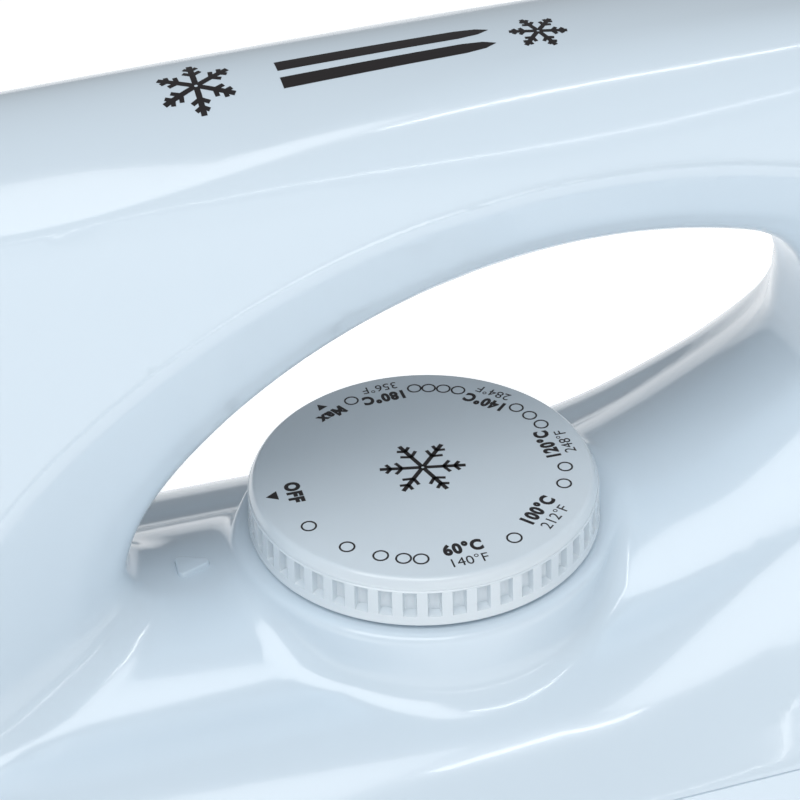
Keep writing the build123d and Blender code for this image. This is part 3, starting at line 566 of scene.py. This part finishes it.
# ---- Pieces ----
def build_housing():
    """The body and the handle cover, parted along the crease, with their holes."""
    low = (-HALF_LENGTH - 2.0, -HALF_WIDTH - 2.0, SEAM - 5.0)
    high = (HALF_LENGTH + 2.0, HALF_WIDTH + 2.0, HANDLE_TOP + 2.0)
    points, quads = surface_net(outer_form, low, high, NET_STEP)
    points = settle(outer_form, points)
    bm = bmesh.new()
    verts = [bm.verts.new(p) for p in points]
    for q in quads:
        bm.faces.new([verts[i] for i in q])
    refine(bm, outer_form, REFINE_ROUNDS, REFINE_BEND, SHORTEST_EDGE)
    seam = SEAM + SEAM_GAP
    slope = CREASE_SLOPE - PARTING_EASE
    front = cover_high[0]
    plane = Vector((0, 0, CREASE_Z + PARTING_RISE + slope * (PARTING_X - CREASE_X)))
    tilt = Vector((-slope, 0, 1)).normalized()
    cut(bm, Vector((0, 0, seam)), Vector((0, 0, 1)))
    cut(bm, plane, tilt)
    cut(bm, Vector((front, 0, 0)), Vector((1, 0, 0)))
    drop(bm, lambda f: f.calc_center_median().z < seam)
    punch(bm, (DIAL_X, 0, PEDESTAL_TOP), (0, 0, 1), SPINDLE_HOLE, 4.0)
    punch(bm, (LENS_X, 0, HANDLE_TOP), (0, 0, 1), LENS_HOLE + 0.05, 6.0)
    punch(bm, (GLAND_SEAT, 0, GLAND_Z), (1, 0, 0), GLAND_HOLE, 4.0)

    def in_cover(c):
        return c.x < front and (c - plane).dot(tilt) > 0

    cover = housing_piece("handle_cover_moulding", bm, in_cover, "handle_cover")
    body = housing_piece("housing_moulding", bm, lambda c: not in_cover(c), "upper_housing")
    bm.free()
    return [cover, body]


def build_pointer():
    """The low raised arrowhead on the deck, pointing at the dial."""
    corner, steps = 0.8, 6
    tips = [(POINTER_X + POINTER_HALF, 0.0), (POINTER_X - POINTER_HALF, 2.5),
            (POINTER_X - POINTER_HALF, -2.5)]
    centre = np.mean(tips, 0)
    outline = []
    for i, tip in enumerate(tips):
        tip = np.array(tip)
        before = tip - tips[i - 1]
        after = np.array(tips[(i + 1) % 3]) - tip
        first = math.atan2(before[1], before[0]) - math.pi / 2
        turn = math.atan2(before[0] * after[1] - before[1] * after[0], before @ after)
        hub = tip + (centre - tip) * corner * 1.6 / np.linalg.norm(centre - tip)
        for k in range(steps + 1):
            a = first + turn * k / steps
            outline.append(hub + corner * np.array([math.cos(a), math.sin(a)]))
    outline = np.array(outline)
    deck = SHOULDER_Z + RIDGE
    profile = [(-0.12, -0.8), (-0.10, 0.06), (0.0, 0.50), (0.05, 0.78), (0.13, 0.88), (0.28, 0.93)]
    rows = []
    for inset, height in profile:
        reach = np.linalg.norm(outline - centre, axis=1)[:, None]
        ring = centre + (outline - centre) * (1 - inset / reach)
        rows.append(np.column_stack([ring, np.full(len(ring), deck + height)]))
    n = len(outline)
    faces = [tuple(reversed(range(n)))]
    for k in range(len(rows) - 1):
        for i in range(n):
            a, b = k * n + i, k * n + (i + 1) % n
            faces.append((a, b, b + n, a + n))
    faces.append(tuple((len(rows) - 1) * n + i for i in range(n)))
    mark = mesh_object("dial_pointer", np.concatenate(rows) * MM, faces)
    mark.data.polygons.foreach_set("use_smooth", [True] * len(mark.data.polygons))
    mark.data.set_sharp_from_angle(angle=math.radians(50))
    return mark


def dial_profile():
    """Radius and depth below the dial's top, from its middle over the edge to the roof's inside."""
    r = DIAL_RADIUS
    foot = DIAL_TOP - DIAL_FOOT
    edge = [(r - 2.0 + 1.0 * math.sin(t), 1.0 - 1.0 * math.cos(t))
            for t in np.linspace(0, math.radians(70), 7)]
    lip = [(r - 0.72, 1.2), (r - 0.56, 1.7), (r - 0.60, 1.86), (r - 0.42, 1.96)]
    ribs = [(r - 0.36, 2.06), (r - 0.35, 2.2), (r - 0.34, 2.45), (r - 0.30, 3.4),
            (r - 0.24, 4.6), (r - 0.18, 5.6), (r - 0.15, 6.1), (r - 0.14, 6.35), (r - 0.13, 6.5)]
    band = [(r - 0.10, 6.62), (r - 0.08, 7.4), (r - 0.06, 7.5), (r, 7.62), (r, foot - 0.12),
            (r - 0.15, foot)]
    inside = [(r - 2.3, foot), (r - 2.4, foot - 0.3), (r - 2.4, 3.4), (r - 3.2, 2.6), (6.0, 2.6)]
    return [(0.0, 0.0), (10.0, 0.0), (20.0, 0.0)] + edge + lip + ribs + band + inside


def pocket_depth(u, depth):
    """How deep a grip pocket is at a share of its pitch from its middle, and a depth from the top."""
    half = 0.275
    side = np.clip((half + 0.012 - abs(u)) / 0.028, 0, 1)
    floor = 0.9 + 0.5 * math.sqrt(max(0.0, 1 - (u / half) ** 2))
    ends = smooth_step(depth, 2.06, 2.4) * (1 - smooth_step(depth, 6.1, 6.5))
    return floor * side * float(ends)


def build_dial():
    """The turned cap, its outline swept round with the grip pockets sunk into its side."""
    shares = [-u for u in reversed(POCKET_SHARES)] + POCKET_SHARES
    profile = dial_profile()
    rows, faces = [], []
    columns = POCKETS * len(shares)
    for r, depth in profile[1:]:
        outside = r > DIAL_RADIUS - 1.0 and POCKET_TOP < depth < POCKET_FOOT
        for n in range(POCKETS):
            for u in shares:
                angle = -math.pi / 2 + FIRST_POCKET + (n + u) * 2 * math.pi / POCKETS
                reach = r - (pocket_depth(u, depth) if outside else 0.0)
                rows.append((DIAL_X + reach * math.cos(angle), reach * math.sin(angle),
                             DIAL_TOP - depth))
    for k in range(len(profile) - 2):
        for i in range(columns):
            j = (i + 1) % columns
            a, b = k * columns, (k + 1) * columns
            faces.append((a + i, b + i, b + j, a + j))
    last = (len(profile) - 2) * columns
    rows += [(DIAL_X, 0, DIAL_TOP), (DIAL_X, 0, DIAL_TOP - profile[-1][1])]
    top, bottom = len(rows) - 2, len(rows) - 1
    for i in range(columns):
        j = (i + 1) % columns
        faces.append((top, i, j))
        faces.append((bottom, last + j, last + i))
    dial = mesh_object("dial_cap", np.array(rows) * MM, faces, "dial")
    dial.data.polygons.foreach_set("use_smooth", [True] * len(dial.data.polygons))
    dial.data.set_sharp_from_angle(angle=math.radians(40))
    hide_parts("dial_knob")
    return dial


def text_shape(words, size, weight, squeeze):
    """Points and faces of a line of figures, centred, flat in the XY plane, in millimetres."""
    curve = bpy.data.curves.new("figures", "FONT")
    curve.body = words
    curve.size = size
    curve.offset = weight
    curve.space_character = 1.0 + 0.8 * max(weight, 0.0)
    curve.align_x, curve.align_y = "CENTER", "CENTER"
    curve.resolution_u = 4
    obj = bpy.data.objects.new("figures", curve)
    bpy.context.scene.collection.objects.link(obj)
    mesh = bpy.data.meshes.new_from_object(obj)
    points = np.array([v.co for v in mesh.vertices])
    points[:, 0] *= squeeze
    faces = [tuple(p.vertices) for p in mesh.polygons]
    bpy.data.objects.remove(obj)
    bpy.data.curves.remove(curve)
    bpy.data.meshes.remove(mesh)
    return points, faces


def ring_shape(radius, line, steps=40):
    """A flat ring whose line is centred on the radius."""
    points, faces = [], []
    for i in range(steps):
        a = 2 * math.pi * i / steps
        for r in (radius - line / 2, radius + line / 2):
            points.append((r * math.cos(a), r * math.sin(a), 0))
        j = (i + 1) % steps
        faces.append((2 * i, 2 * i + 1, 2 * j + 1, 2 * j))
    return np.array(points), faces


def bar_shape(start, end, width):
    """A flat bar between two points."""
    start, end = np.array(start, float), np.array(end, float)
    along = (end - start) / np.linalg.norm(end - start)
    side = np.array([-along[1], along[0]]) * width / 2
    corners = [start - side, end - side, end + side, start + side]
    return np.array([(*c, 0) for c in corners]), [(0, 1, 2, 3)]


def arrow_shape(size):
    """A small solid arrowhead that points to -Y."""
    side, back = size * 0.95, size * 0.6
    return np.array([(0, -size, 0), (side, back, 0), (-side, back, 0)]), [(0, 1, 2)]


def snowflake_shapes(reach, line):
    """A plain six-armed snow crystal of bars."""
    shapes = []
    for arm in range(6):
        a = math.radians(90 + 60 * arm)
        out = np.array([math.cos(a), math.sin(a)])
        shapes.append(bar_shape(out * line * 0.3, out * reach, line))
        for share, length in ((0.48, 0.26), (0.74, 0.20)):
            for turn in (-1, 1):
                b = a + turn * math.radians(55)
                tip = out * reach * share + reach * length * np.array([math.cos(b), math.sin(b)])
                shapes.append(bar_shape(out * reach * share, tip, line * 0.8))
    return shapes


def ski_shape(length, width):
    """A plain ski seen from above, with its tip at +X."""
    half, tip = width / 2, length / 2
    outline = [(-tip, -half), (tip - 2.2 * width, -half), (tip - 0.8 * width, -0.7 * half),
               (tip, 0), (tip - 0.8 * width, 0.7 * half), (tip - 2.2 * width, half), (-tip, half)]
    return np.array([(x, y, 0) for x, y in outline]), [tuple(range(len(outline)))]


def placed(shape, x, y, turn=0.0):
    """The shape turned about its own origin and moved."""
    points, faces = shape
    c, s = math.cos(turn), math.sin(turn)
    moved = points.copy()
    moved[:, 0] = x + c * points[:, 0] - s * points[:, 1]
    moved[:, 1] = y + s * points[:, 0] + c * points[:, 1]
    return moved, faces


def joined(shapes):
    """All the shapes as one set of points and faces."""
    points, faces, start = [], [], 0
    for p, f in shapes:
        points.append(p)
        faces += [tuple(i + start for i in one) for one in f]
        start += len(p)
    return np.concatenate(points), faces


def diced(points, faces, step):
    """The same flat marks, cut along a square grid so that they can follow a curved surface."""
    bm = bmesh.new()
    verts = [bm.verts.new(p) for p in points]
    for f in faces:
        bm.faces.new([verts[i] for i in f])
    for axis, direction in enumerate((Vector((1, 0, 0)), Vector((0, 1, 0)))):
        for at in np.arange(points[:, axis].min() + step, points[:, axis].max(), step):
            cut(bm, direction * at, direction)
    bm.verts.index_update()
    cut_faces = [[v.index for v in f.verts] for f in bm.faces]
    cut_points = point_array(bm)
    bm.free()
    return cut_points, cut_faces


def print_object(name, shapes, lift, body, ink=0.03, step=None):
    """Flat marks as one thin layer of ink; lift gives the surface's height at a point."""
    points, faces = joined(shapes)
    if step:
        points, faces = diced(points, faces, step)
    points[:, 2] = lift(points)
    obj = mesh_object(name, points * MM, faces, body)
    solid = obj.modifiers.new("ink", "SOLIDIFY")
    solid.thickness = ink * MM
    solid.offset = 0
    return obj


def build_dial_print():
    """The temperature scale round the dial, read from outside it."""
    rings = [23.3, 43.3, 57.3, 66.1, 72.7, 110.7, 151.3, 162.5, 193.7, 201.6, 209.5,
             237.9, 244.4, 250.8, 257.0, 285.6]
    figures = [(89.8, "60", "140"), (130.3, "100", "212"), (179.1, "120", "248"),
               (223.3, "140", "284"), (271.2, "180", "356")]
    shapes = []

    def put(shape, degrees, radius, flipped=False):
        a = math.pi + math.radians(degrees)
        turn = a + math.pi / 2 + (math.pi if flipped else 0)
        shapes.append(placed(shape, DIAL_X + radius * math.cos(a), radius * math.sin(a), turn))

    for degrees in rings:
        put(ring_shape(1.13, 0.3), degrees, 23.1)
    for degrees, celsius, fahrenheit in figures:
        put(text_shape(celsius + "°C", 3.2, 0.18, 0.84), degrees, 21.5)
        put(text_shape(fahrenheit + "°F", 2.75, 0.0, 0.98), degrees, 24.6)
    put(text_shape("OFF", 3.2, 0.2, 0.86), 0.0, 21.6)
    put(arrow_shape(1.2), 0.0, 24.9)
    put(text_shape("Max", 3.1, 0.17, 0.9), SCALE_END, 22.0)
    put(arrow_shape(1.0), SCALE_END, 24.9)
    for shape in snowflake_shapes(7.0, 0.75):
        shapes.append(placed(shape, DIAL_X, 0, 0.3))
    marks = print_object("dial_scale", shapes, lambda p: np.full(len(p), DIAL_TOP + 0.01), "dial")
    return marks


def build_handle_print():
    """A snow crystal, a pair of skis and a smaller crystal along the handle's crown."""
    def crown(p):
        z = np.full(len(p), HANDLE_TOP + 0.5)
        for _ in range(8):
            z = z - outer_form(p[:, 0], p[:, 1], z)
        return z + 0.03

    shapes = [placed(s, -41.0, -4.5) for s in snowflake_shapes(5.4, 0.8)]
    shapes += [placed(ski_shape(30.0, 2.1), -15.0, y, 0.03) for y in (-6.4, -2.8)]
    shapes += [placed(s, 6.5, -4.6, 0.3) for s in snowflake_shapes(4.0, 0.65)]
    marks = print_object("handle_marks", shapes, crown, "root", 0.04, 0.8)
    return marks


def dress(obj, made):
    obj.data.materials.clear()
    obj.data.materials.append(made)


def dress_nodes(finishes):
    """Gives each CAD node the finish of its material slot in the record."""
    slots = {part["node"]: part["material_slot"] for part in frame["record"]["subparts"]}
    for name, obj in frame["nodes"].items():
        slot = slots.get(name)
        if slot in finishes:
            for i in range(len(obj.material_slots)):
                obj.material_slots[i].material = finishes[slot]


def main():
    add_camera()
    add_floor()
    add_world()
    add_lights()
    finishes = make_materials()
    dress_nodes(finishes)
    for piece in build_housing():
        dress(piece, finishes["housing"])
    dress(build_pointer(), finishes["housing"])
    dress(build_dial(), finishes["dial"])
    dress(build_dial_print(), finishes["print"])
    dress(build_handle_print(), finishes["print"])
    bpy.context.scene.view_settings.view_transform = "Standard"


main()
